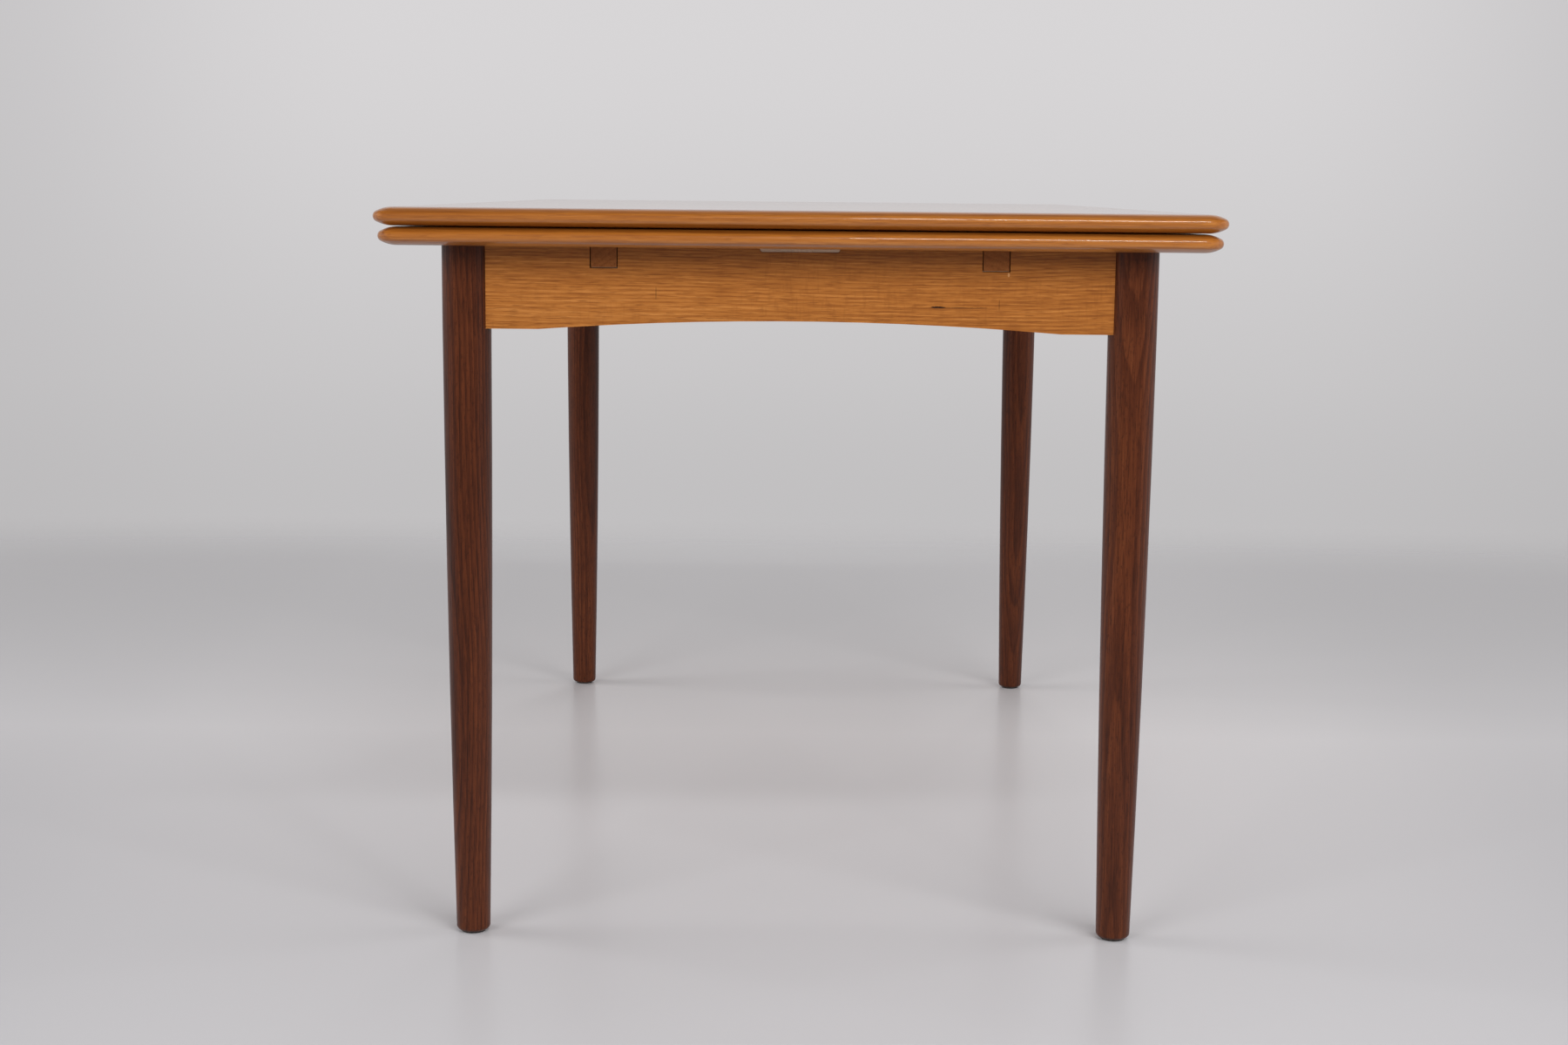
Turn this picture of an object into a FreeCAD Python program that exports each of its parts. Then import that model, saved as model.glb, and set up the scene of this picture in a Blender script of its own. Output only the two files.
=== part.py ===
"""A draw-leaf dining table: a loose top over two leaves that pull out from under its ends.

Frame: millimetres, origin on the floor under the middle of the table, X across the
table, Y along it (the near end is -Y), Z up.
"""
import FreeCAD, Part
import math
import os
import Sketcher
from FreeCAD import Placement, Rotation, Vector

# Driving dimensions in millimetres.
SIZES = {
    "table_height": 730.0,
    "table_width": 800.0,
    "table_length": 1350.0,
    "top_thickness": 17.5,
    "leaf_thickness": 17.5,
    "felt_thickness": 0.8,
    "lipping_width": 20.0,
    "nose_length": 18.0,
    "nose_tip_radius": 5.5,
    "leaf_setback": 3.5,
    "leaf_joint_gap": 1.0,
    "draw_clearance": 1.0,
    "centre_width": 330.0,
    "leg_spacing_across": 650.0,
    "leg_spacing_along": 1150.0,
    "leg_foot_diameter": 34.0,
    "leg_top_diameter": 47.6,
    "leg_swell": 1.3,
    "foot_round": 4.5,
    "glide_diameter": 24.0,
    "glide_thickness": 2.0,
    "apron_height": 81.0,
    "apron_thickness": 20.0,
    "apron_stand_out": 13.0,
    "apron_land": 71.0,
    "end_arch_rise": 10.0,
    "side_arch_rise": 10.0,
    "leaf_clearance": 0.5,
    "cope_clearance": 0.1,
    "grip_width": 78.0,
    "grip_depth": 4.6,
    "grip_corner_radius": 3.0,
    "dowel_diameter": 10.0,
    "dowel_length": 40.0,
    "dowel_clearance": 0.1,
    "end_dowel_height": 16.0,
    "side_dowel_height": 28.0,
    "dowel_spacing": 42.0,
    "block_start": 24.0,
    "block_reach": 75.0,
    "block_height": 50.0,
    "bolt_height": 43.0,
    "bolt_diameter": 8.0,
    "bolt_grip_in_leg": 32.0,
    "bolt_end": 4.0,
    "bolt_clearance": 0.3,
    "washer_diameter": 22.0,
    "washer_thickness": 2.0,
    "nut_width": 13.0,
    "nut_height": 6.5,
    "screw_diameter": 4.0,
    "screw_head_diameter": 8.0,
    "screw_head_height": 3.0,
    "screw_clearance": 0.2,
    "screw_bite": 12.0,
    "screw_seat": 9.0,
    "block_screw_inset": 17.0,
    "bearer_width": 25.0,
    "bearer_drop": 21.0,
    "bearer_recess": 0.5,
    "bearer_tail": 540.0,
    "near_bearer_spacing": 380.0,
    "far_bearer_spacing": 310.0,
    "bearer_side_clearance": 1.0,
    "slide_clearance": 0.3,
    "hold_down_clearance": 0.5,
    "bearer_screw_inset": 60.0,
    "bearer_screw_pitch": 150.0,
    "rail_thickness": 20.0,
    "rail_depth": 68.0,
    "rail_housing": 6.0,
    "rail_clearance": 0.1,
    "rail_screw_inner": 130.0,
    "rail_screw_outer": 520.0,
    "stop_peg_diameter": 10.0,
    "stop_peg_drop": 10.0,
    "stop_peg_hold": 20.0,
    "stop_clearance": 0.3,
    "guide_peg_diameter": 24.0,
    "guide_peg_spacing": 180.0,
    "guide_peg_drop": 38.0,
    "guide_peg_chamfer": 4.0,
    "guide_socket_depth": 11.0,
    "guide_socket_clearance": 0.4,
    "guide_hole_clearance": 1.5,
    "felt_width": 40.0,
    "felt_length": 280.0,
    "felt_spacing": 500.0,
}

doc = FreeCAD.newDocument("draw_leaf_table")
sheet = doc.addObject("Spreadsheet::Sheet", "sizes")
for row, (alias, millimetres) in enumerate(SIZES.items(), start=1):
    sheet.set(f"A{row}", alias)
    sheet.set(f"B{row}", str(millimetres))
    sheet.setAlias(f"B{row}", alias)
doc.recompute()


class Size:
    """A length with its number now and the sheet formula that keeps it right."""

    def __init__(self, number, formula):
        self.number = number
        self.formula = formula

    def __add__(self, other):
        other = as_size(other)
        return Size(self.number + other.number, f"({self.formula} + {other.formula})")

    def __sub__(self, other):
        other = as_size(other)
        return Size(self.number - other.number, f"({self.formula} - {other.formula})")

    def __mul__(self, other):
        other = as_size(other)
        return Size(self.number * other.number, f"({self.formula} * {other.formula})")

    def __truediv__(self, other):
        other = as_size(other)
        return Size(self.number / other.number, f"({self.formula} / {other.formula})")

    def __neg__(self):
        return as_size(0) - self

    def __rsub__(self, other):
        return as_size(other) - self

    __radd__ = __add__
    __rmul__ = __mul__


def as_size(value):
    return value if isinstance(value, Size) else Size(float(value), f"({value})")


def size(alias):
    """A driving dimension, read from the sheet."""
    return Size(float(sheet.get(alias)), f"sizes.{alias}")


# Levels, from the floor up.
top_under = size("table_height") - size("top_thickness")
leaf_over = top_under - size("felt_thickness")
leaf_under = leaf_over - size("leaf_thickness")
apron_top = leaf_under - size("leaf_clearance")
apron_bottom = apron_top - size("apron_height")

# Places measured from the middle of the table.
leg_x = size("leg_spacing_across") / 2
leg_y = size("leg_spacing_along") / 2
leg_radius = size("leg_top_diameter") / 2
apron_inset = size("apron_thickness") - size("apron_stand_out")
apron_face_y = leg_y + size("apron_stand_out")
inner_corner_x = leg_x - apron_inset
inner_corner_y = leg_y - apron_inset
top_half_width = size("table_width") / 2
top_half_length = size("table_length") / 2
leaf_half_width = top_half_width - size("leaf_setback")
leaf_outer = top_half_length - size("leaf_setback")
centre_edge = size("centre_width") / 2
leaf_inner = centre_edge + size("leaf_joint_gap")

# A leaf runs out by leaf_draw and climbs by leaf_rise, so that it ends level with the top.
leaf_draw = top_half_length + size("draw_clearance") - leaf_inner
leaf_rise = size("top_thickness") + size("felt_thickness")
slope = leaf_rise / leaf_draw

subparts = {}


def keep(label, thing):
    """Name a finished piece; its label names its file."""
    thing.Label = label
    subparts[label] = thing
    return thing


def bind(thing, bindings):
    for path, value in bindings.items():
        thing.setExpression(path, as_size(value).formula)


def place(thing, x=0, y=0, z=0, turn=None):
    thing.Placement = Placement(Vector(), turn or Rotation())
    bind(thing, {"Placement.Base.x": x, "Placement.Base.y": y, "Placement.Base.z": z})
    return thing


def box(name, x_span, y_span, z_span):
    """A block between pairs of low and high places."""
    block = doc.addObject("Part::Box", name)
    spans = (x_span, y_span, z_span)
    for side, (low, high) in zip(("Length", "Width", "Height"), spans):
        bind(block, {side: high - low})
    return place(block, *(low for low, high in spans))


def rod(name, diameter, length, start, along=Vector(0, 0, 1)):
    """A round rod from a start point in the direction given."""
    cylinder = doc.addObject("Part::Cylinder", name)
    bind(cylinder, {"Radius": diameter / 2, "Height": length})
    return place(cylinder, *start, turn=Rotation(Vector(0, 0, 1), along))


def step(start, along, distance):
    """The point at a distance from start in the direction given."""
    return [point + axis * distance for point, axis in zip(start, along)]


def joined(name, pieces):
    if len(pieces) == 1:
        return pieces[0]
    union = doc.addObject("Part::MultiFuse", name)
    union.Shapes = pieces
    return union


def carved(name, blank, tools):
    """The blank with every tool cut out of it."""
    result = doc.addObject("Part::Cut", name)
    result.Base = blank
    result.Tool = joined(f"{name}_tools", tools)
    return result


def group(name, pieces):
    """Identical fasteners as separate solids of one node."""
    compound = doc.addObject("Part::Compound", name)
    compound.Links = pieces
    return compound


def sketch_on(body, role, offset=0):
    """A sketch on one of the body's own origin planes, moved along its normal."""
    plane = [feature for feature in body.Origin.OriginFeatures if feature.Role == role][0]
    sketch = body.newObject("Sketcher::SketchObject", f"{body.Name}_outline")
    sketch.AttachmentSupport = (plane, [""])
    sketch.MapMode = "FlatFace"
    bind(sketch, {"AttachmentOffset.Base.z": offset})
    return sketch


def pin(sketch, edge, end, across, up):
    """Hold one end of an edge at a place given from the sketch's origin."""
    for kind, value in (("DistanceX", across), ("DistanceY", up)):
        value = as_size(value)
        ends = (-1, 1, edge, end)
        if value.number < 0:
            ends = (edge, end, -1, 1)
            value = -value
        index = sketch.addConstraint(Sketcher.Constraint(kind, *ends, value.number))
        sketch.setExpression(f"Constraints[{index}]", value.formula)


def arc_between(start, stop, radius, side):
    """An arc that bulges to the left of its way when side is 1, and to the right when -1."""
    chord = stop - start
    middle = (start + stop) * 0.5
    sagitta = radius - math.sqrt(radius ** 2 - chord.Length ** 2 / 4)
    left = Vector(-chord.y, chord.x, 0).normalize()
    through = middle + left * (side * sagitta)
    # Sketched arcs run anticlockwise, so one that bulges to the left is drawn from its far end.
    return Part.Arc(start, through, stop) if side < 0 else Part.Arc(stop, through, start)


def outline(sketch, corners, bends=None):
    """Close an outline through the corners; bends gives the radius and side of its arcs."""
    bends = bends or {}
    corners = [(as_size(across), as_size(up)) for across, up in corners]
    points = [Vector(across.number, up.number, 0) for across, up in corners]
    ends = []
    for index, start in enumerate(points):
        stop = points[(index + 1) % len(points)]
        if index in bends:
            radius, side = bends[index]
            sketch.addGeometry(arc_between(start, stop, radius.number, side))
        else:
            sketch.addGeometry(Part.LineSegment(start, stop))
        drawn = sketch.Geometry[index]
        forward = (drawn.StartPoint - start).Length < (drawn.EndPoint - start).Length
        ends.append((1, 2) if forward else (2, 1))
    for index, corner in enumerate(corners):
        following = (index + 1) % len(corners)
        meeting = (index, ends[index][1], following, ends[following][0])
        sketch.addConstraint(Sketcher.Constraint("Coincident", *meeting))
        pin(sketch, index, ends[index][0], *corner)
    for index, (radius, side) in bends.items():
        held = sketch.addConstraint(Sketcher.Constraint("Radius", index, radius.number))
        sketch.setExpression(f"Constraints[{held}]", radius.formula)


def arc_radius(chord_squared, rise):
    """The radius of an arc that rises by the amount given over its chord."""
    return (chord_squared / 4 + rise * rise) / (2 * rise)


def pad(body, sketch, length):
    feature = body.newObject("PartDesign::Pad", f"{body.Name}_pad")
    feature.Profile = sketch
    bind(feature, {"Length": length})
    return feature


def turned(body, sketch, angle=360, backwards=False):
    """Turn a sketch about its own upright axis."""
    feature = body.newObject("PartDesign::Revolution", f"{body.Name}_turned")
    feature.Profile = sketch
    feature.ReferenceAxis = (sketch, ["V_Axis"])
    feature.Angle = angle
    feature.Reversed = backwards
    return feature


def screw(name, seat, along, grip):
    """A wood screw: its head sits at seat, and its shank runs on through grip and bites."""
    back = along * -1
    head = rod(f"{name}_head", size("screw_head_diameter"), size("screw_head_height"), seat, back)
    shank_length = grip + size("screw_bite")
    shank = rod(f"{name}_shank", size("screw_diameter"), shank_length, seat, along)
    return joined(name, [head, shank])


def screw_hole(name, seat, along, grip, bore):
    """The hole for such a screw, with a bore behind its head as deep as given."""
    spare = 2 * size("screw_clearance")
    shank_length = grip + size("screw_bite") + size("screw_clearance")
    shank = rod(f"{name}_pilot", size("screw_diameter") + spare, shank_length, seat, along)
    head = rod(f"{name}_bore", size("screw_head_diameter") + spare, bore, seat, along * -1)
    return joined(name, [shank, head])


# Four legs stand at the corners: straight between the aprons, and below them turned with a
# slight swell, thinnest at the floor. The signs of each corner are those of its X and Y.
CORNERS = {
    "near_left": (-1, -1),
    "near_right": (1, -1),
    "far_left": (-1, 1),
    "far_right": (1, 1),
}
UP = Vector(0, 0, 1)
DIAGONAL = math.sqrt(0.5)

dowels = []
dowel_holes = {"end": {}, "side": {}}
bolts = []
washers = []
nuts = []
glides = []
block_screws = []
apron_screw_holes = {"end": {}, "side": {}}
leg_copes = {}


def dowel_joint(corner, way):
    """Two dowels between a leg and the end or side apron beside it, and their holes."""
    sign_x, sign_y = CORNERS[corner]
    aside = size("apron_stand_out") - size("apron_thickness") / 2
    depth = leg_radius - size("dowel_length") / 2
    if way == "end":
        along = Vector(-sign_x, 0, 0)
        start_x = sign_x * (leg_x - depth)
        start_y = sign_y * (leg_y + aside)
    else:
        along = Vector(0, -sign_y, 0)
        start_x = sign_x * (leg_x + aside)
        start_y = sign_y * (leg_y - depth)
    holes = []
    for tier in (0, 1):
        height = apron_bottom + size(f"{way}_dowel_height") + tier * size("dowel_spacing")
        start = (start_x, start_y, height)
        name = f"{corner}_{way}_dowel_{tier}"
        dowels.append(rod(name, size("dowel_diameter"), size("dowel_length"), start, along))
        spare = size("dowel_clearance")
        hole_start = step(start, along, -spare)
        hole_length = size("dowel_length") + 2 * spare
        hole_diameter = size("dowel_diameter") + 2 * spare
        holes.append(rod(f"{name}_hole", hole_diameter, hole_length, hole_start, along))
    dowel_holes[way][corner] = holes


def leg_bolt(corner):
    """A stud from the leg through the corner block, with its washer and nut; gives its hole."""
    sign_x, sign_y = CORNERS[corner]
    inward = Vector(-sign_x * DIAGONAL, -sign_y * DIAGONAL, 0)
    axis = (sign_x * leg_x, sign_y * leg_y, apron_bottom + size("bolt_height"))
    start = step(axis, inward, leg_radius - size("bolt_grip_in_leg"))
    block_face = (apron_inset * 2 + size("block_reach")) * DIAGONAL
    seat = step(axis, inward, block_face)
    nut_seat = step(seat, inward, size("washer_thickness"))
    fastening = size("washer_thickness") + size("nut_height") + size("bolt_end")
    length = block_face + fastening - leg_radius + size("bolt_grip_in_leg")
    bolts.append(rod(f"{corner}_stud", size("bolt_diameter"), length, start, inward))

    hole_diameter = size("bolt_diameter") + 2 * size("bolt_clearance")
    hole = rod(f"{corner}_stud_hole", hole_diameter, length, start, inward)
    disc = rod(f"{corner}_disc", size("washer_diameter"), size("washer_thickness"), seat, inward)
    washers.append(carved(f"{corner}_washer", disc, [hole]))

    hexagon = doc.addObject("Part::Prism", f"{corner}_hexagon")
    hexagon.Polygon = 6
    across_corners = size("nut_width") / math.sqrt(3)
    bind(hexagon, {"Circumradius": across_corners, "Height": size("nut_height")})
    place(hexagon, *nut_seat, turn=Rotation(UP, inward))
    nuts.append(carved(f"{corner}_nut", hexagon, [hole]))
    return hole


def corner_block(corner, bolt_hole):
    """A slanting block behind the leg, screwed to both aprons, that the leg's stud pulls on."""
    sign_x, sign_y = CORNERS[corner]
    near_end, far_end = size("block_start"), size("block_reach")
    blank = doc.addObject("PartDesign::Body", f"{corner}_block_blank")
    sketch = sketch_on(blank, "XY_Plane")
    plan = [
        (sign_x * (inner_corner_x - near_end), sign_y * inner_corner_y),
        (sign_x * (inner_corner_x - far_end), sign_y * inner_corner_y),
        (sign_x * inner_corner_x, sign_y * (inner_corner_y - far_end)),
        (sign_x * inner_corner_x, sign_y * (inner_corner_y - near_end)),
    ]
    outline(sketch, plan)
    pad(blank, sketch, size("block_height"))
    bottom = apron_bottom + size("bolt_height") - size("block_height") / 2
    place(blank, z=bottom)

    inset = size("block_screw_inset")
    seat_depth = size("screw_seat")
    third = size("block_height") / 3
    seats = {
        "end": (
            sign_x * (inner_corner_x - far_end + inset),
            sign_y * (inner_corner_y - seat_depth),
            bottom + third,
        ),
        "side": (
            sign_x * (inner_corner_x - seat_depth),
            sign_y * (inner_corner_y - far_end + inset),
            bottom + 2 * third,
        ),
    }
    ways = {"end": Vector(0, sign_y, 0), "side": Vector(sign_x, 0, 0)}
    tools = [bolt_hole]
    for way, seat in seats.items():
        name = f"{corner}_block_{way}"
        block_screws.append(screw(f"{name}_screw", seat, ways[way], seat_depth))
        hole = screw_hole(f"{name}_hole", seat, ways[way], seat_depth, inset)
        apron_screw_holes[way][corner] = hole
        tools.append(hole)
    keep(f"corner_block_{corner}", carved(f"{corner}_block", blank, tools))


def leg(corner, bolt_hole):
    """A turned leg on its glide, bored for the dowels of two aprons and for its stud."""
    sign_x, sign_y = CORNERS[corner]
    floor_level = size("glide_thickness")
    rounding = size("foot_round")
    foot_radius = size("leg_foot_diameter") / 2
    taper = leg_radius - foot_radius
    rise = apron_bottom - floor_level - rounding
    swell_radius = arc_radius(taper * taper + rise * rise, size("leg_swell"))
    blank = doc.addObject("PartDesign::Body", f"{corner}_leg_blank")
    sketch = sketch_on(blank, "XZ_Plane")
    profile = [
        (0, floor_level),
        (foot_radius - rounding, floor_level),
        (foot_radius, floor_level + rounding),
        (leg_radius, apron_bottom),
        (leg_radius, apron_top),
        (0, apron_top),
    ]
    outline(sketch, profile, {1: (rounding, -1), 2: (swell_radius, -1)})
    turned(blank, sketch)
    outward = Rotation(Vector(1, 0, 0), Vector(sign_x, sign_y, 0))
    place(blank, sign_x * leg_x, sign_y * leg_y, turn=outward)
    holes = dowel_holes["end"][corner] + dowel_holes["side"][corner] + [bolt_hole]
    keep(f"leg_{corner}", carved(f"{corner}_leg", blank, holes))

    foot = (sign_x * leg_x, sign_y * leg_y, as_size(0))
    glides.append(rod(f"{corner}_glide", size("glide_diameter"), floor_level, foot))
    cope_diameter = size("leg_top_diameter") + 2 * size("cope_clearance")
    cope_foot = (sign_x * leg_x, sign_y * leg_y, apron_bottom)
    leg_copes[corner] = rod(f"{corner}_cope", cope_diameter, size("apron_height"), cope_foot)


for corner in CORNERS:
    dowel_joint(corner, "end")
    dowel_joint(corner, "side")
    stud_hole = leg_bolt(corner)
    corner_block(corner, stud_hole)
    leg(corner, stud_hole)
keep("foot_glides", group("glide_set", glides))
keep("apron_dowels", group("dowel_set", dowels))
keep("leg_bolts", group("bolt_set", bolts))
keep("leg_bolt_washers", group("washer_set", washers))
keep("leg_bolt_nuts", group("nut_set", nuts))
keep("corner_block_screws", group("block_screw_set", block_screws))

# The aprons run from leg to leg, coped to the round legs, with an arched lower edge.
# The end aprons are notched on top for the bearers and have a shallow finger cut-out.
BEARER_SPACING = {"near": size("near_bearer_spacing"), "far": size("far_bearer_spacing")}
END_SIGN = {"near": -1, "far": 1}
SIDE_SIGN = {"left": -1, "right": 1}


def bearer_under(outward):
    """The height of a bearer's lower face at a distance outward from the middle."""
    return leaf_under - size("bearer_drop") - (apron_face_y - outward) * slope


notch_bottom = bearer_under(apron_face_y - size("apron_thickness")) - size("slide_clearance")
notch_half = size("bearer_width") / 2 + size("bearer_side_clearance")


def lower_edge(half_span):
    """Corners of an apron's lower edge, left to right, with the arch as their second side."""
    land_end = half_span - size("apron_land")
    places = (-half_span, -land_end, land_end, half_span)
    return [(across, apron_bottom) for across in places], land_end


def end_apron(end):
    blank = doc.addObject("PartDesign::Body", f"{end}_end_apron_blank")
    sketch = sketch_on(blank, "XZ_Plane")
    corners, land_end = lower_edge(leg_x)
    arch = arc_radius(4 * land_end * land_end, size("end_arch_rise"))
    notch = BEARER_SPACING[end] / 2
    grip_half = size("grip_width") / 2
    grip_floor = apron_top - size("grip_depth")
    soft = size("grip_corner_radius")
    right_half = [
        (leg_x, apron_top),
        (notch + notch_half, apron_top),
        (notch + notch_half, notch_bottom),
        (notch - notch_half, notch_bottom),
        (notch - notch_half, apron_top),
        (grip_half, apron_top),
        (grip_half, grip_floor + soft),
        (grip_half - soft, grip_floor),
    ]
    left_half = [(-across, up) for across, up in reversed(right_half)]
    corners = corners + right_half + left_half
    first_soft = corners.index(right_half[-2])
    last_soft = corners.index(left_half[0])
    outline(sketch, corners, {1: (arch, 1), first_soft: (soft, 1), last_soft: (soft, 1)})
    pad(blank, sketch, size("apron_thickness"))
    outer_face = apron_face_y if end == "far" else -(apron_face_y - size("apron_thickness"))
    place(blank, y=outer_face)
    tools = []
    for corner in (f"{end}_left", f"{end}_right"):
        tools += dowel_holes["end"][corner] + [apron_screw_holes["end"][corner], leg_copes[corner]]
    keep(f"end_apron_{end}", carved(f"{end}_end_apron", blank, tools))


rail_end = inner_corner_x + size("rail_housing")
rail_half = size("rail_thickness") / 2
rail_bottom = apron_top - size("rail_depth")


def side_apron(side):
    sign = SIDE_SIGN[side]
    blank = doc.addObject("PartDesign::Body", f"{side}_side_apron_blank")
    sketch = sketch_on(blank, "YZ_Plane")
    corners, land_end = lower_edge(leg_y)
    arch = arc_radius(4 * land_end * land_end, size("side_arch_rise"))
    outline(sketch, corners + [(leg_y, apron_top), (-leg_y, apron_top)], {1: (arch, 1)})
    pad(blank, sketch, size("apron_thickness"))
    inner_face = inner_corner_x if side == "right" else -(inner_corner_x + size("apron_thickness"))
    place(blank, x=inner_face)
    spare = size("rail_clearance")
    reach = sorted((sign * (rail_end + spare), sign * inner_corner_x), key=lambda x: x.number)
    housing = box(
        f"{side}_rail_housing",
        reach,
        (-(rail_half + spare), rail_half + spare),
        (rail_bottom - spare, apron_top),
    )
    tools = [housing]
    for corner in (f"near_{side}", f"far_{side}"):
        tools += dowel_holes["side"][corner] + [apron_screw_holes["side"][corner], leg_copes[corner]]
    keep(f"side_apron_{side}", carved(f"{side}_side_apron", blank, tools))


for end in END_SIGN:
    end_apron(end)
for side in SIDE_SIGN:
    side_apron(side)

# One rail crosses the frame at the middle; the four bearers run through slots in its top.
slot_bottom = bearer_under(-rail_half) - size("slide_clearance")
rail_blank = box(
    "rail_blank", (-rail_end, rail_end), (-rail_half, rail_half), (rail_bottom, apron_top)
)
rail_tools = []
for end, spacing in BEARER_SPACING.items():
    for side, sign in SIDE_SIGN.items():
        middle = sign * (spacing / 2)
        rail_tools.append(
            box(
                f"{end}_{side}_slot",
                (middle - notch_half, middle + notch_half),
                (-rail_half, rail_half),
                (slot_bottom, apron_top),
            )
        )
centre_screws = []
centre_screw_holes = []
rail_seat = apron_top - size("screw_seat")
for reach in ("inner", "outer"):
    for side, sign in SIDE_SIGN.items():
        seat = (sign * (size(f"rail_screw_{reach}") / 2), as_size(0), rail_seat)
        name = f"rail_{reach}_{side}"
        centre_screws.append(screw(f"{name}_screw", seat, UP, size("screw_seat")))
        bore = size("rail_depth")
        centre_screw_holes.append(
            screw_hole(f"{name}_hole", seat, UP, size("screw_seat"), bore)
        )
keep("guide_rail", carved("rail", rail_blank, rail_tools + centre_screw_holes))
keep("centre_board_screws", group("centre_screw_set", centre_screws))

# Boards are veneered panels with solid lippings, nosed outside and mitred at the corners.
RUN_TURN = {"near": 0, "right": 90, "far": 180, "left": 270}


def lipping(label, thickness, length, start, facing, corner_first, corner_last):
    """A nosed strip along a panel's edge, with half of a round corner where it is mitred.

    It runs along its own X with the panel at its back, and facing names the way its nose looks.
    """
    width, nose, tip = size("lipping_width"), size("nose_length"), size("nose_tip_radius")
    half = thickness / 2
    shoulder = (nose * nose + half * half - 2 * nose * tip) / (2 * (half - tip))
    nose_start = width - nose
    reach = shoulder / (shoulder - tip)
    meet_out = nose_start + (nose - tip) * reach
    meet_up = shoulder - (shoulder - half) * reach
    profile = [
        (0, 0),
        (0, thickness),
        (-nose_start, thickness),
        (-meet_out, thickness - meet_up),
        (-meet_out, meet_up),
        (-nose_start, 0),
    ]
    bends = {2: (shoulder, -1), 3: (tip, -1), 4: (shoulder, -1)}
    body = doc.addObject("PartDesign::Body", label)
    sketch = sketch_on(body, "YZ_Plane")
    outline(sketch, profile, bends)
    pad(body, sketch, length)
    if corner_first:
        turned(body, sketch, 45, backwards=True)
    if corner_last:
        end_sketch = sketch_on(body, "YZ_Plane", length)
        outline(end_sketch, profile, bends)
        turned(body, end_sketch, 45)
    place(body, *start, turn=Rotation(UP, RUN_TURN[facing]))
    return keep(label, body)


lipping_width = size("lipping_width")

# The centre board rests on the side aprons and the rail, and holds the bearers down.
centre_half = leaf_half_width - lipping_width
centre_thickness = size("leaf_thickness") + size("leaf_clearance")
centre_blank = box(
    "centre_blank",
    (-centre_half, centre_half),
    (-centre_edge, centre_edge),
    (apron_top, apron_top + centre_thickness),
)
peg_places = {end: sign * (size("guide_peg_spacing") / 2) for end, sign in END_SIGN.items()}
peg_holes = []
for end, along in peg_places.items():
    hole_diameter = size("guide_peg_diameter") + 2 * size("guide_hole_clearance")
    start = (as_size(0), along, apron_top)
    peg_holes.append(rod(f"{end}_peg_hole", hole_diameter, centre_thickness, start))
keep("centre_board", carved("centre_panel", centre_blank, peg_holes + centre_screw_holes))
for side, sign in SIDE_SIGN.items():
    start = (sign * centre_half, sign * -centre_edge, apron_top)
    run = size("centre_width")
    lipping(f"centre_lipping_{side}", centre_thickness, run, start, side, False, False)

# Felt strips on the centre board carry the loose top.
for side, sign in SIDE_SIGN.items():
    middle = sign * (size("felt_spacing") / 2)
    half_width, half_length = size("felt_width") / 2, size("felt_length") / 2
    strip = box(
        f"{side}_felt",
        (middle - half_width, middle + half_width),
        (-half_length, half_length),
        (leaf_over, top_under),
    )
    keep(f"felt_strip_{side}", strip)


def bearer(end, side):
    """A leaf's bearer: wedge-shaped under the leaf, so that the leaf climbs as it is drawn."""
    sign = END_SIGN[end]
    outer = apron_face_y - size("bearer_recess")
    tail = -size("bearer_tail")

    def held_top(outward):
        return apron_top - size("hold_down_clearance") - (centre_edge - outward) * slope

    profile = [
        (outer, bearer_under(outer)),
        (outer, leaf_under),
        (leaf_inner, leaf_under),
        (leaf_inner, held_top(leaf_inner)),
        (tail, held_top(tail)),
        (tail, bearer_under(tail)),
    ]
    blank = doc.addObject("PartDesign::Body", f"{end}_{side}_bearer_blank")
    sketch = sketch_on(blank, "YZ_Plane")
    outline(sketch, [(sign * outward, up) for outward, up in profile])
    pad(blank, sketch, size("bearer_width"))
    middle = SIDE_SIGN[side] * (BEARER_SPACING[end] / 2)
    place(blank, x=middle - size("bearer_width") / 2)

    holes = []
    for number in range(3):
        inset = size("bearer_screw_inset") + number * size("bearer_screw_pitch")
        seat = (middle, sign * (outer - inset), leaf_under - size("screw_seat"))
        name = f"{end}_{side}_bearer_{number}"
        bearer_screws[end].append(screw(f"{name}_screw", seat, UP, size("screw_seat")))
        bore = size("rail_depth")
        holes.append(screw_hole(f"{name}_hole", seat, UP, size("screw_seat"), bore))
    leaf_holes[end] += holes

    stop = leaf_draw + rail_half + size("stop_peg_diameter") / 2 + size("stop_clearance")
    bottom = bearer_under(-stop) - size("stop_peg_drop")
    start = (middle, sign * -stop, bottom)
    length = size("stop_peg_drop") + size("stop_peg_hold")
    peg = rod(f"{end}_{side}_stop", size("stop_peg_diameter"), length, start)
    stop_pegs[end].append(peg)
    keep(f"{end}_bearer_{side}", carved(f"{end}_{side}_bearer", blank, holes + [peg]))


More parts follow.
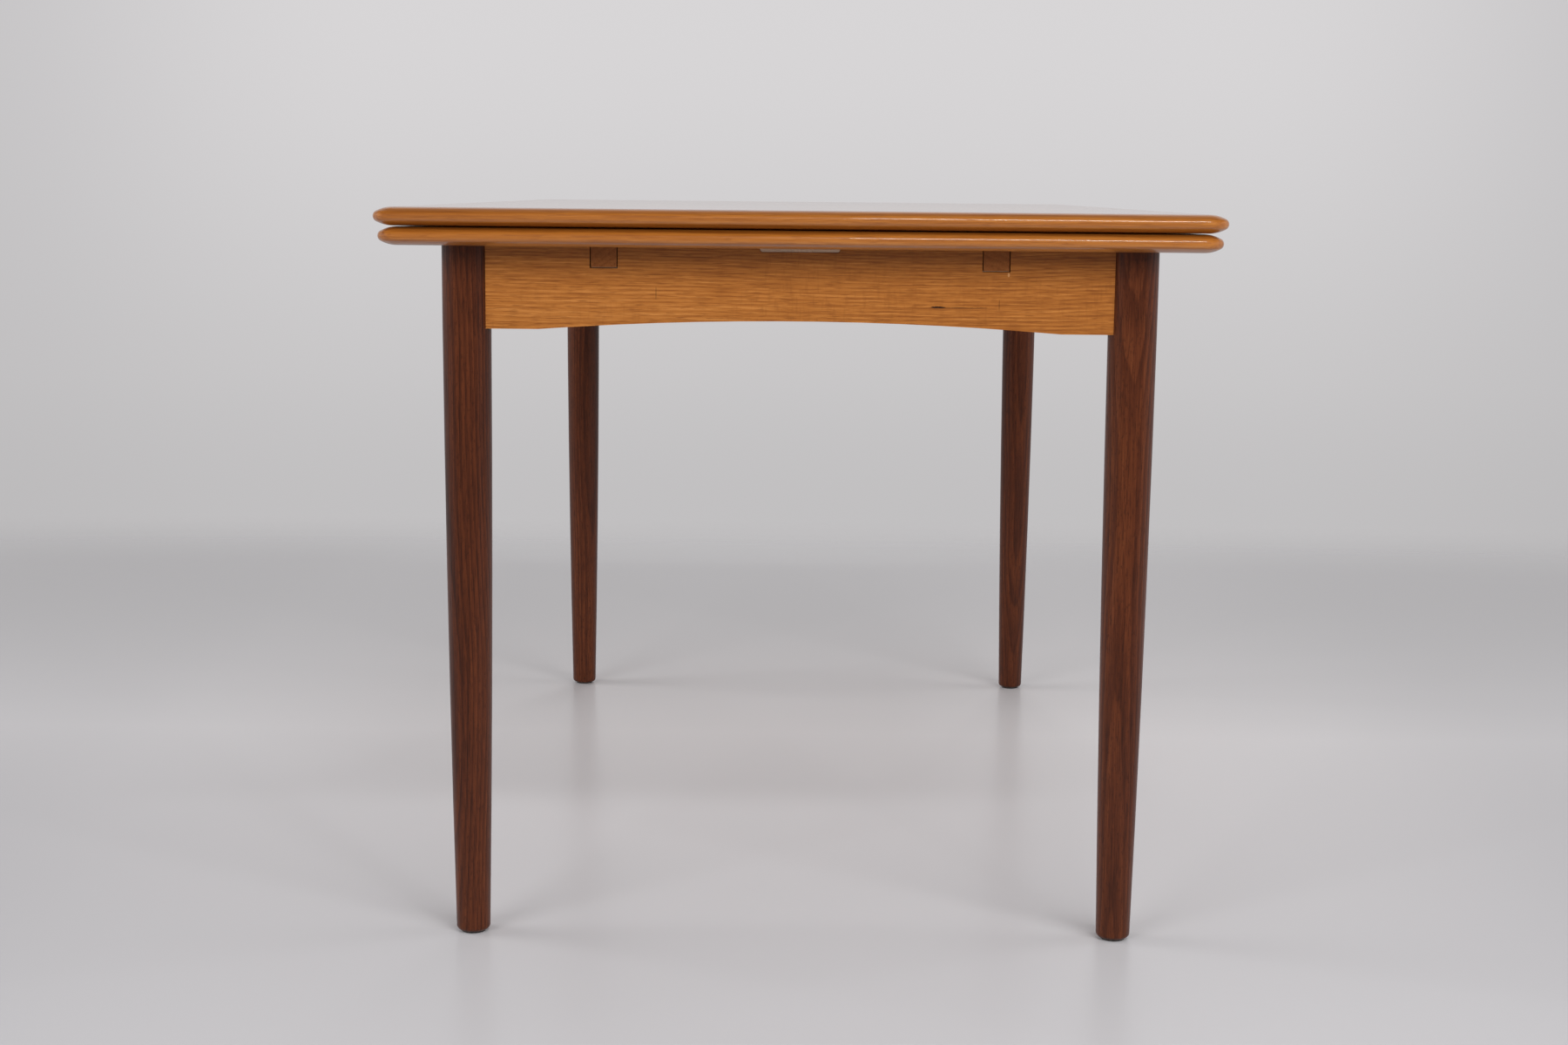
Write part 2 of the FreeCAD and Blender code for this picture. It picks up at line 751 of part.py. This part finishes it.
def leaf(end):
    """A leaf: its panel, three lippings and the two bearers screwed up under it."""
    sign = END_SIGN[end]
    for side in SIDE_SIGN:
        bearer(end, side)
    panel_half = leaf_half_width - lipping_width
    panel_end = leaf_outer - lipping_width
    reach = sorted((sign * leaf_inner, sign * panel_end), key=lambda y: y.number)
    blank = box(f"{end}_panel_blank", (-panel_half, panel_half), reach, (leaf_under, leaf_over))
    keep(f"{end}_leaf_panel", carved(f"{end}_panel", blank, leaf_holes[end]))
    thickness = size("leaf_thickness")
    start = (sign * panel_half, sign * panel_end, leaf_under)
    lipping(f"{end}_leaf_end_lipping", thickness, 2 * panel_half, start, end, True, True)
    run = panel_end - leaf_inner
    for side, side_sign in SIDE_SIGN.items():
        begins_outside = side_sign == -sign
        first = panel_end if begins_outside else leaf_inner
        start = (side_sign * panel_half, sign * first, leaf_under)
        label = f"{end}_leaf_lipping_{side}"
        lipping(label, thickness, run, start, side, begins_outside, not begins_outside)
    keep(f"{end}_bearer_screws", group(f"{end}_screw_set", bearer_screws[end]))
    keep(f"{end}_stop_pegs", group(f"{end}_peg_set", stop_pegs[end]))


bearer_screws = {end: [] for end in END_SIGN}
leaf_holes = {end: [] for end in END_SIGN}
stop_pegs = {end: [] for end in END_SIGN}
for end in END_SIGN:
    leaf(end)

# Two guide pegs stand in the top's sockets and reach down through the centre board.
socket_clearance = size("guide_socket_clearance")
sockets = []
for end, along in peg_places.items():
    body = doc.addObject("PartDesign::Body", f"{end}_guide_peg")
    sketch = sketch_on(body, "XZ_Plane")
    bottom = apron_top - size("guide_peg_drop")
    top = top_under + size("guide_socket_depth") - socket_clearance
    radius = size("guide_peg_diameter") / 2
    chamfer = size("guide_peg_chamfer")
    profile = [
        (0, bottom),
        (radius - chamfer, bottom),
        (radius, bottom + chamfer),
        (radius, top),
        (0, top),
    ]
    outline(sketch, profile)
    turned(body, sketch)
    place(body, y=along)
    keep(f"guide_peg_{end}", body)
    socket_diameter = size("guide_peg_diameter") + 2 * socket_clearance
    start = (as_size(0), along, top_under)
    sockets.append(rod(f"{end}_socket", socket_diameter, size("guide_socket_depth"), start))

# The loose top lies on the felt, held sideways by the guide pegs.
panel_half = top_half_width - lipping_width
panel_end = top_half_length - lipping_width
top_blank = box(
    "top_blank",
    (-panel_half, panel_half),
    (-panel_end, panel_end),
    (top_under, size("table_height")),
)
keep("top_panel", carved("top_board", top_blank, sockets))
for end, sign in END_SIGN.items():
    start = (sign * panel_half, sign * panel_end, top_under)
    lipping(f"top_end_lipping_{end}", size("top_thickness"), 2 * panel_half, start, end, True, True)
for side, sign in SIDE_SIGN.items():
    start = (sign * panel_half, sign * -panel_end, top_under)
    lipping(f"top_side_lipping_{side}", size("top_thickness"), 2 * panel_end, start, side, True, True)

doc.recompute()
failed = [thing.Name for thing in doc.Objects if {"Invalid", "Error"} & set(thing.State)]
if failed:
    raise RuntimeError(f"objects that failed: {failed}")
for label, thing in subparts.items():
    if thing.Shape.isNull() or not thing.Shape.isValid():
        raise RuntimeError(f"{label} has no valid shape")

os.makedirs("parts", exist_ok=True)
for label, thing in subparts.items():
    thing.Shape.exportStep(f"parts/{label}.step")
print(f"{len(subparts)} sub-parts written")
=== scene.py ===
import math

import bmesh
import bpy
from mathutils import Matrix, Vector

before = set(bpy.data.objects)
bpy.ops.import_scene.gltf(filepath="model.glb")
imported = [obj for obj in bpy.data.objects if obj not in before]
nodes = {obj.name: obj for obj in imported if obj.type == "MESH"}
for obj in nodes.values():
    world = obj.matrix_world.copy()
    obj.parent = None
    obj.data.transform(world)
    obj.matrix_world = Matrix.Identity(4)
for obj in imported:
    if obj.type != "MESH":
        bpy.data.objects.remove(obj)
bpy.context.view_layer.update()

# Four round legs, turned from solid dark teak with a slight swell, under a satin lacquer.
# Each is one length of wood, so the growth rings run through it and show as long figure
# where the lathe has cut across them.


class Wire:
    """An output of a shader node, so that sums on it read as plain arithmetic."""

    def __init__(self, tree, socket):
        self.tree = tree
        self.socket = socket

    def node(self, kind, settings=None, inputs=None, out=0):
        made = self.tree.nodes.new(kind)
        for name, value in (settings or {}).items():
            if name == "stops":
                stops = made.color_ramp.elements
                while len(stops) < len(value):
                    stops.new(1.0)
                for stop, (position, colour) in zip(stops, value):
                    stop.position = position
                    stop.color = (*colour, 1.0)
            else:
                setattr(made, name, value)
        for name, value in (inputs or {}).items():
            if isinstance(value, Wire):
                self.tree.links.new(value.socket, made.inputs[name])
            else:
                made.inputs[name].default_value = value
        return Wire(self.tree, made.outputs[out])

    def sum_of(self, operation, first, second):
        return self.node("ShaderNodeMath", {"operation": operation}, {0: first, 1: second})

    def __add__(self, other):
        return self.sum_of("ADD", self, other)

    def __radd__(self, other):
        return self.sum_of("ADD", other, self)

    def __sub__(self, other):
        return self.sum_of("SUBTRACT", self, other)

    def __rsub__(self, other):
        return self.sum_of("SUBTRACT", other, self)

    def __mul__(self, other):
        return self.sum_of("MULTIPLY", self, other)

    def __rmul__(self, other):
        return self.sum_of("MULTIPLY", other, self)

    def __truediv__(self, other):
        return self.sum_of("DIVIDE", self, other)

    def __pow__(self, other):
        return self.sum_of("POWER", self, other)

    def larger(self, other):
        return self.sum_of("MAXIMUM", self, other)

    def number(self, operation):
        """A sum on this number alone."""
        return self.node("ShaderNodeMath", {"operation": operation}, {0: self})

    def vector(self, operation, other):
        return self.node("ShaderNodeVectorMath", {"operation": operation}, {0: self, 1: other})

    def part(self, axis):
        """One of the three numbers of a vector."""
        return self.node("ShaderNodeSeparateXYZ", None, {0: self}, "XYZ".index(axis))

    def noise(self, stretch, detail=2.0, out="Fac"):
        """Noise of the given number of waves in a metre along each axis."""
        place = self.vector("MULTIPLY", stretch)
        settings = {"Vector": place, "Scale": 1.0, "Detail": detail, "Roughness": 0.55}
        return self.node("ShaderNodeTexNoise", None, settings, out)

    def between(self, low, high):
        """0 below low, 1 above high, and a soft step between them."""
        ends = {"Value": self, "From Min": low, "From Max": high}
        return self.node("ShaderNodeMapRange", {"interpolation_type": "SMOOTHSTEP"}, ends)

    def ramp(self, stops):
        """The colour that stands at this number on a scale of places and colours."""
        return self.node("ShaderNodeValToRGB", {"stops": stops}, {0: self})

    def tint(self, amount, colour, blend="MIX"):
        """This colour with another one laid over it."""
        settings = {"data_type": "RGBA", "blend_type": blend}
        return self.node("ShaderNodeMix", settings, {0: amount, 6: self, 7: (*colour, 1.0)}, 2)

    def feed(self, shader, name):
        self.tree.links.new(self.socket, shader.inputs[name])


def new_finish(name, settings=None):
    """A finish with the settings of its shader, that shader, and the place of a point."""
    material = bpy.data.materials.new(name)
    material.use_nodes = True
    shader = material.node_tree.nodes["Principled BSDF"]
    for socket, value in (settings or {}).items():
        shader.inputs[socket].default_value = value
    place = Wire(material.node_tree, None).node("ShaderNodeTexCoord", out="Object")
    return material, shader, place


def along_grain(place, axis):
    """The same place with its third number along the grain."""
    order = {"X": "YZX", "Y": "XZY", "Z": "XYZ"}[axis]
    return place.node("ShaderNodeCombineXYZ", None, {n: place.part(a) for n, a in enumerate(order)})


def wood(shader, grain, tones, pith, ring, drift, pore, patches, rings, streaks, threads):
    """Colour and relief of a plank whose growth rings lie around a pith.

    The pith, the width of a ring and the drift of the rings are in metres. The last five
    say how much the pores, the patches, the rings, the streaks and the threads count.
    """
    sway = grain.noise((2.5, 2.5, 1.3), out="Color").vector("SUBTRACT", (0.5, 0.5, 0.5))
    bent = grain.vector("ADD", sway.vector("MULTIPLY", (drift, drift, 0.0)))
    off_pith = bent.vector("SUBTRACT", (*pith, 0.0)).vector("MULTIPLY", (1.0, 1.0, 0.0))
    reach = off_pith.node("ShaderNodeVectorMath", {"operation": "LENGTH"}, {0: off_pith}, "Value")
    year = reach / ring + 1.6 * grain.noise((30.0, 30.0, 2.0))
    late = year.number("FRACT")
    late = late.between(0.15, 0.90) - late.between(0.90, 1.0)
    broad = grain.noise((12.0, 12.0, 1.1))
    streak = grain.noise((330.0, 330.0, 7.0), detail=4.0)
    thread = grain.noise((800.0, 800.0, 30.0), detail=3.0)
    holes = grain.noise((750.0, 750.0, 48.0), detail=1.0).between(0.56, 0.68)
    depth = 0.5 + patches * (broad - 0.5) + streaks * (streak - 0.5) + threads * (thread - 0.5)
    depth = depth - rings * (late - 0.5)
    darkest = tones[0][1]
    colour = depth.ramp(tones).tint(pore * holes, darkest)
    rough = shader.inputs["Roughness"].default_value
    (rough + 0.12 * (streak - 0.5) + 0.08 * holes).feed(shader, "Roughness")
    relief = 0.4 * streak + 0.3 * thread - 0.6 * holes
    return colour, relief


def lay_relief(shader, relief, depth):
    """Bumps of the given depth in metres."""
    settings = {"Strength": 1.0, "Distance": depth, "Height": relief}
    relief.node("ShaderNodeBump", None, settings).feed(shader, "Normal")


def dress(names, finish):
    """Give a finish to the pieces named."""
    for name in names:
        nodes[name].material_slots[0].material = finish


CORNERS = ("near_left", "near_right", "far_left", "far_right")
LEG_TONES = [
    (0.30, (0.028, 0.0066, 0.0024)),
    (0.46, (0.067, 0.0158, 0.0050)),
    (0.58, (0.098, 0.0240, 0.0072)),
    (0.74, (0.158, 0.0435, 0.0138)),
]
leg_finish, shader, place = new_finish(
    "leg_teak",
    {"Roughness": 0.40, "Specular IOR Level": 0.10, "Coat Weight": 0.30, "Coat Roughness": 0.24},
)
grain = along_grain(place, "Z")
colour, relief = wood(
    shader, grain, LEG_TONES, pith=(0.42, -0.11), ring=0.0045, drift=0.060,
    pore=0.45, patches=0.55, rings=0.13, streaks=0.26, threads=0.40,
)
speck = grain.noise((520.0, 520.0, 170.0)).between(0.54, 0.70)
colour.tint(0.45 * speck, LEG_TONES[0][1]).feed(shader, "Base Color")
lay_relief(shader, relief, depth=0.00012)
dress([f"leg_{corner}" for corner in CORNERS], leg_finish)

# Foot glides, moulded in dark plastic and nailed under the legs.
# They are scuffed all over to a duller, greyer brown.
GLIDE_TONES = [
    (0.40, (0.018, 0.015, 0.013)),
    (0.75, (0.060, 0.052, 0.046)),
]
glide_finish, shader, place = new_finish("glide_plastic")
scuff = place.noise((420.0, 420.0, 420.0), detail=4.0)
scuff.ramp(GLIDE_TONES).feed(shader, "Base Color")
(0.42 + 0.25 * scuff).feed(shader, "Roughness")
lay_relief(shader, scuff, depth=0.00005)
dress(["foot_glides"], glide_finish)

# End aprons, sawn from honey-coloured teak with the grain across the table, dowelled to the legs.
# The lower edge is arched, the upper edge has the bearers' notches and a finger cut.
# The near one carries a crack, two ticks and a chip.
APRON_TONES = [
    (0.28, (0.220, 0.0650, 0.0100)),
    (0.44, (0.360, 0.1200, 0.0200)),
    (0.56, (0.430, 0.1530, 0.0275)),
    (0.74, (0.555, 0.2200, 0.0500)),
]


def apron_finish(name, axis):
    material, shader, place = new_finish(
        name,
        {"Roughness": 0.45, "Specular IOR Level": 0.30, "Coat Weight": 0.12, "Coat Roughness": 0.25},
    )
    grain = along_grain(place, axis)
    colour, relief = wood(
        shader, grain, APRON_TONES, pith=(-0.95, 0.47), ring=0.0017, drift=0.030,
        pore=0.55, patches=0.32, rings=0.13, streaks=0.46, threads=0.64,
    )
    fleck = grain.noise((420.0, 420.0, 60.0)).between(0.52, 0.66)
    colour = colour.tint(0.36 * fleck, APRON_TONES[0][1])
    rungs = grain.noise((55.0, 55.0, 300.0), detail=1.0).between(0.52, 0.72)
    ladder = rungs * grain.noise((9.0, 9.0, 4.0)).between(0.42, 0.60)
    colour = colour.tint(0.22 * ladder, APRON_TONES[0][1])
    lay_relief(shader, relief, depth=0.00012)
    return material, shader, place, colour


end_apron_finish, shader, place, colour = apron_finish("apron_teak_across", "X")
x, y, z = (place.part(axis) for axis in "XYZ")
near_face = y.between(-0.585, -0.587)


def stroke(middle_x, middle_z, half_x, half_z):
    """A mark of the given half lengths on the near apron's face, with ragged edges."""
    ragged = place.noise((300.0, 300.0, 300.0), detail=3.0) - 0.5
    wide = (x - middle_x) / half_x
    high = (z - middle_z + 0.0012 * ragged) / half_z
    return (1 - (wide * wide + high * high + 0.9 * ragged)).between(0.0, 0.5) * near_face


CRACK_TONE = (0.020, 0.007, 0.003)
BARE_WOOD = (0.66, 0.36, 0.15)
crack = stroke(0.1345, 0.6378, 0.0080, 0.0011)
crack_tail = stroke(0.1560, 0.6374, 0.0340, 0.0005)
ticks = stroke(-0.1393, 0.6488, 0.0004, 0.0075) + stroke(0.1935, 0.6405, 0.0004, 0.0065)
chip = stroke(0.2020, 0.6695, 0.0012, 0.0022)
colour = colour.tint(0.95 * crack + 0.55 * crack_tail + 0.60 * ticks, CRACK_TONE)
colour.tint(0.75 * chip, BARE_WOOD).feed(shader, "Base Color")
dress(["end_apron_near", "end_apron_far"], end_apron_finish)

# Side aprons, of the same teak with the grain along the table, dowelled to the legs.
# Their lower edges are arched like those of the end aprons.
side_apron_finish, shader, place, colour = apron_finish("apron_teak_along", "Y")
colour.feed(shader, "Base Color")
dress(["side_apron_left", "side_apron_right"], side_apron_finish)

# Corner blocks, dowels, guide rail, stop pegs and guide pegs, all of plain unfinished beech.
# Blocks, rail and dowels have their grain across the table, the turned pegs have it upright.
BEECH_TONES = [
    (0.28, (0.560, 0.4150, 0.2800)),
    (0.46, (0.690, 0.5450, 0.4050)),
    (0.60, (0.745, 0.6000, 0.4600)),
    (0.76, (0.810, 0.6750, 0.5350)),
]


def beech_finish(name, axis):
    material, shader, place = new_finish(name, {"Roughness": 0.62})
    grain = along_grain(place, axis)
    colour, relief = wood(
        shader, grain, BEECH_TONES, pith=(0.31, -0.22), ring=0.0045, drift=0.020,
        pore=0.15, patches=0.35, rings=0.12, streaks=0.35, threads=0.30,
    )
    ray = grain.noise((700.0, 700.0, 260.0), detail=1.0).between(0.64, 0.70)
    colour.tint(0.45 * ray, BEECH_TONES[0][1]).feed(shader, "Base Color")
    lay_relief(shader, relief, depth=0.00010)
    return material


beech_across = beech_finish("beech_across", "X")
beech_upright = beech_finish("beech_upright", "Z")
dress([f"corner_block_{corner}" for corner in CORNERS], beech_across)
dress(["apron_dowels", "guide_rail"], beech_across)
dress(["near_stop_pegs", "far_stop_pegs", "guide_peg_near", "guide_peg_far"], beech_upright)

# Studs, washers, nuts and screws of zinc-plated steel.
# The plating is dulled and spotted with age.
ZINC_TONES = [
    (0.35, (0.30, 0.28, 0.25)),
    (0.62, (0.56, 0.56, 0.55)),
]
steel_finish, shader, place = new_finish("zinc_steel", {"Metallic": 1.0})
age = place.noise((260.0, 260.0, 260.0), detail=4.0)
age.ramp(ZINC_TONES).feed(shader, "Base Color")
(0.55 - 0.25 * age).feed(shader, "Roughness")
lay_relief(shader, age, depth=0.00004)
dress(["leg_bolts", "leg_bolt_washers", "leg_bolt_nuts"], steel_finish)
dress(["corner_block_screws", "centre_board_screws"], steel_finish)
dress(["near_bearer_screws", "far_bearer_screws"], steel_finish)

# Panels of the top, the leaves and the centre board, veneered with teak along the table.
# The veneer is laid in sheets side by side, each with its own figure, under gloss lacquer
# on the upper faces and hardly any below.
SHEET_WIDTH = 0.190
SEAM_EDGES = (SHEET_WIDTH / 2 - 0.0004, SHEET_WIDTH / 2 - 0.0001)
SHEET_TINT = (0.290, 0.0900, 0.0150)
VENEER_TONES = [
    (0.28, (0.200, 0.0580, 0.0090)),
    (0.44, (0.325, 0.1040, 0.0175)),
    (0.57, (0.400, 0.1360, 0.0250)),
    (0.76, (0.505, 0.1960, 0.0440)),
]
veneer_finish, shader, place = new_finish(
    "teak_veneer", {"Roughness": 0.42, "Specular IOR Level": 0.15, "Coat Roughness": 0.06},
)
upper = place.node("ShaderNodeNewGeometry", out="Normal").part("Z").between(0.0, 0.5)
(0.06 + 0.94 * upper).feed(shader, "Coat Weight")
across = place.part("X") / SHEET_WIDTH + 0.5
count = across.number("FLOOR")
chance = count.node("ShaderNodeTexWhiteNoise", {"noise_dimensions": "1D"}, {"W": count + 7.3}, "Value")
in_sheet = (across - count - 0.5) * SHEET_WIDTH
off_pith = in_sheet + 0.06 * (chance - 0.5)
over_pith = 0.055 + 0.03 * chance
along = place.part("Y") + 9.0 * chance
grain = place.node("ShaderNodeCombineXYZ", None, {0: off_pith, 1: over_pith, 2: along})
colour, relief = wood(
    shader, grain, VENEER_TONES, pith=(0.0, 0.0), ring=0.0065, drift=0.055,
    pore=0.38, patches=0.35, rings=0.15, streaks=0.38, threads=0.38,
)
seam = in_sheet.number("ABSOLUTE").between(*SEAM_EDGES)
colour = colour.tint(0.22 * chance, SHEET_TINT)
colour.tint(0.45 * seam, VENEER_TONES[0][1]).feed(shader, "Base Color")
lay_relief(shader, relief, depth=0.00006)
dress(["centre_board", "near_leaf_panel", "far_leaf_panel", "top_panel"], veneer_finish)

# Lippings of solid teak around the boards, glued on and shaped to a soft nose.
# They are lacquered to a gloss, and small knocks break up the light along their edges.
LIPPING_TONES = [
    (0.27, (0.190, 0.0520, 0.0065)),
    (0.43, (0.312, 0.0980, 0.0130)),
    (0.57, (0.385, 0.1310, 0.0195)),
    (0.76, (0.490, 0.1900, 0.0370)),
]


def lipping_finish(name, axis):
    material, shader, place = new_finish(
        name,
        {"Roughness": 0.30, "Specular IOR Level": 0.30, "Coat Weight": 0.70, "Coat Roughness": 0.06},
    )
    grain = along_grain(place, axis)
    colour, relief = wood(
        shader, grain, LIPPING_TONES, pith=(0.37, 0.18), ring=0.0075, drift=0.030,
        pore=0.40, patches=0.40, rings=0.10, streaks=0.42, threads=0.38,
    )
    knock = grain.noise((90.0, 90.0, 55.0), detail=3.0).between(0.68, 0.76)
    colour.tint(0.40 * knock, LIPPING_TONES[0][1]).feed(shader, "Base Color")
    wave = grain.noise((40.0, 40.0, 28.0))
    lay_relief(shader, relief + 1.4 * wave - 2.0 * knock, depth=0.00007)
    return material


lipping_across = lipping_finish("lipping_teak_across", "X")
lipping_along = lipping_finish("lipping_teak_along", "Y")
for end in ("near", "far"):
    dress([f"{end}_leaf_end_lipping", f"top_end_lipping_{end}"], lipping_across)
for board in ("centre_lipping", "near_leaf_lipping", "far_leaf_lipping", "top_side_lipping"):
    dress([f"{board}_left", f"{board}_right"], lipping_along)

# Felt strips, glued on the centre board so that the loose top doesn't mark it.
# They are thin green wool, with a short nap.
FELT_TONES = [
    (0.35, (0.022, 0.055, 0.022)),
    (0.65, (0.075, 0.140, 0.070)),
]
felt_finish, shader, place = new_finish("green_felt", {"Roughness": 0.95, "Sheen Weight": 0.3})
nap = place.noise((1600.0, 1600.0, 1600.0), detail=4.0)
blot = place.noise((60.0, 60.0, 60.0))
(0.6 * nap + 0.4 * blot).ramp(FELT_TONES).feed(shader, "Base Color")
lay_relief(shader, nap, depth=0.0003)
dress(["felt_strip_left", "felt_strip_right"], felt_finish)

# Bearers, sawn to a wedge from brown-stained beech and screwed under the leaves.
# Their squared ends show in the notches of the end aprons.
BEARER_TONES = [
    (0.28, (0.172, 0.0525, 0.0125)),
    (0.46, (0.270, 0.0915, 0.0240)),
    (0.60, (0.323, 0.1140, 0.0315)),
    (0.76, (0.387, 0.1460, 0.0430)),
]
bearer_finish, shader, place = new_finish(
    "bearer_beech", {"Roughness": 0.55, "Specular IOR Level": 0.20},
)
colour, relief = wood(
    shader, along_grain(place, "Y"), BEARER_TONES, pith=(0.05, 0.35), ring=0.0060, drift=0.020,
    pore=0.30, patches=0.40, rings=0.10, streaks=0.35, threads=0.35,
)
colour.feed(shader, "Base Color")
lay_relief(shader, relief, depth=0.00012)
for end in ("near", "far"):
    dress([f"{end}_bearer_left", f"{end}_bearer_right"], bearer_finish)

# The studio floor, a pale sheet that fades into the backdrop on every side of the table.
# It is slightly glossy, so the legs show softly in it. Painted light lightens it under the table,
# painted shade darkens it beside the table and well in front of it. From below it is clear.
FLOOR_HALF = 3.6
FLOOR_ACROSS = 2.90
FLOOR_ALONG = 2.05
SIDE_SHADE = (0.860, 0.860, 0.866)
FRONT_SHADE = (0.680, 0.680, 0.685)
# Paper tones with painted light: lightest under the table, darker in front of it and behind it.
PAPER_TONES_AND_PAINTED_LIGHT = [
    (0.0, (0.568, 0.558, 0.572)),
    (0.40, (0.668, 0.653, 0.663)),
    (1.0, (0.522, 0.509, 0.517)),
]
sheet = bmesh.new()
bmesh.ops.create_grid(sheet, x_segments=1, y_segments=1, size=FLOOR_HALF)
mesh = bpy.data.meshes.new("studio_floor")
sheet.to_mesh(mesh)
sheet.free()
floor = bpy.data.objects.new("studio_floor", mesh)
bpy.context.scene.collection.objects.link(floor)
floor_finish, shader, place = new_finish(
    "floor_paper", {"Specular IOR Level": 0.06, "Roughness": 0.25},
)
x = place.part("X")
y = place.part("Y")
# Painted light under the table, and painted shade beside the table and well in front of it.
back = y.between(-0.6, 1.4)
beside = ((x * x).between(0.10, 1.10) - (x * x).between(1.8, 4.5)) * (1 - 0.6 * back)
tone = back.ramp(PAPER_TONES_AND_PAINTED_LIGHT).tint(beside, SIDE_SHADE, "MULTIPLY")
tone.tint(y.between(-0.95, -1.9), FRONT_SHADE, "MULTIPLY").feed(shader, "Base Color")
across = x / FLOOR_ACROSS
along = y / FLOOR_ALONG
reach = ((across * across) ** 2 + (along * along) ** 2) ** 0.25
below = place.node("ShaderNodeNewGeometry", out="Backfacing")
gone = below.larger(reach.between(0.78, 1.12))
clear = place.node("ShaderNodeBsdfTransparent")
paper = Wire(floor_finish.node_tree, shader.outputs[0])
cover = place.node("ShaderNodeMixShader", None, {0: gone, 1: paper, 2: clear})
cover.feed(floor_finish.node_tree.nodes["Material Output"], "Surface")
mesh.materials.append(floor_finish)

# Plain soft studio light from a dim pale room and six soft boxes. The camera sees a pale
# backdrop, lighter towards the top and darker at its sides behind the table. The gloss sees
# it behind and beside the table, with a dim ceiling above.
BACKDROP_TONES = [
    (0.0, (0.535, 0.524, 0.530)),
    (0.22, (0.580, 0.568, 0.574)),
    (1.0, (0.685, 0.670, 0.678)),
]
BACKDROP_SHADE = (0.830, 0.830, 0.834)
ROOM_TONE = (0.300, 0.300, 0.306)
CEILING_TONE = (0.040, 0.040, 0.042)
world = bpy.data.worlds.new("studio")
bpy.context.scene.world = world
world.use_nodes = True
way = Wire(world.node_tree, None).node("ShaderNodeTexCoord", out="Generated")
side_way, back_way, up_way = (way.part(axis) for axis in "XYZ")
sideways = side_way * side_way
rise = up_way.between(-0.155, 0.085)
far_sides = sideways.between(0.03, 0.13) * back_way.between(0.75, 0.90)
backdrop = rise.ramp(BACKDROP_TONES)
backdrop = backdrop.tint(far_sides * (0.35 + 0.65 * rise), BACKDROP_SHADE, "MULTIPLY")
camera_ray, clear_ray, gloss_ray = (
    way.node("ShaderNodeLightPath", out=f"Is {kind} Ray")
    for kind in ("Camera", "Transmission", "Glossy")
)
mirrored = gloss_ray * sideways.between(0.60, 0.85).larger(back_way.between(0.55, 0.92))
room = backdrop.tint(1 - camera_ray - clear_ray - mirrored, ROOM_TONE)
room = room.tint(gloss_ray * up_way.between(0.40, 0.75), CEILING_TONE)
room.feed(world.node_tree.nodes["Background"], "Color")


def soft_box(name, place, aim, width, height, watts, in_gloss=False):
    """A rectangular lamp at a place, turned to its aim and, if asked for, seen in the gloss."""
    lamp = bpy.data.lights.new(name, "AREA")
    lamp.shape = "RECTANGLE"
    lamp.size = width
    lamp.size_y = height
    lamp.energy = watts
    box = bpy.data.objects.new(name, lamp)
    box.visible_glossy = in_gloss
    facing = (Vector(aim) - Vector(place)).to_track_quat("-Z", "Y").to_matrix().to_4x4()
    box.matrix_world = Matrix.Translation(place) @ facing
    bpy.context.scene.collection.objects.link(box)


soft_box("box_left", (-2.4, -3.7, 1.7), (0.0, -0.4, 0.5), width=2.0, height=1.2, watts=66.0)
soft_box("box_right", (2.6, -3.5, 1.7), (0.0, -0.4, 0.5), width=2.0, height=1.2, watts=92.0)
soft_box(
    "box_front", (0.75, -3.0, 3.4), (0.1, -0.7, 0.7), width=1.3, height=0.24, watts=34.0, in_gloss=True,
)
soft_box("side_left", (-5.0, 0.3, 2.2), (0.0, 0.0, 0.2), width=2.6, height=1.8, watts=90.0)
soft_box("side_right", (5.0, 0.3, 2.2), (0.0, 0.0, 0.2), width=2.6, height=1.8, watts=54.0)
soft_box("box_back", (0.6, 4.8, 2.6), (0.0, 0.0, 0.4), width=2.6, height=1.8, watts=62.0)

# The camera stands in front of the short end, a little above the top, and looks slightly down.
# The lens is a normal one, and the camera leans by half a degree.
CAMERA_PLACE = (0.00442, -2.75448, 0.75114)
LOOK_LEFT = 0.00801
LOOK_DOWN = 0.14934
LEAN = 0.00999
camera_data = bpy.data.cameras.new("camera")
camera_data.sensor_width = 36.0
camera_data.lens = 51.12
camera_data.clip_end = 60.0
camera = bpy.data.objects.new("camera", camera_data)
aim = Matrix.Rotation(LOOK_LEFT, 4, "Z") @ Matrix.Rotation(math.pi / 2 - LOOK_DOWN, 4, "X")
camera.matrix_world = Matrix.Translation(CAMERA_PLACE) @ aim @ Matrix.Rotation(LEAN, 4, "Z")
bpy.context.scene.collection.objects.link(camera)
bpy.context.scene.camera = camera
bpy.context.scene.view_settings.view_transform = "Standard"
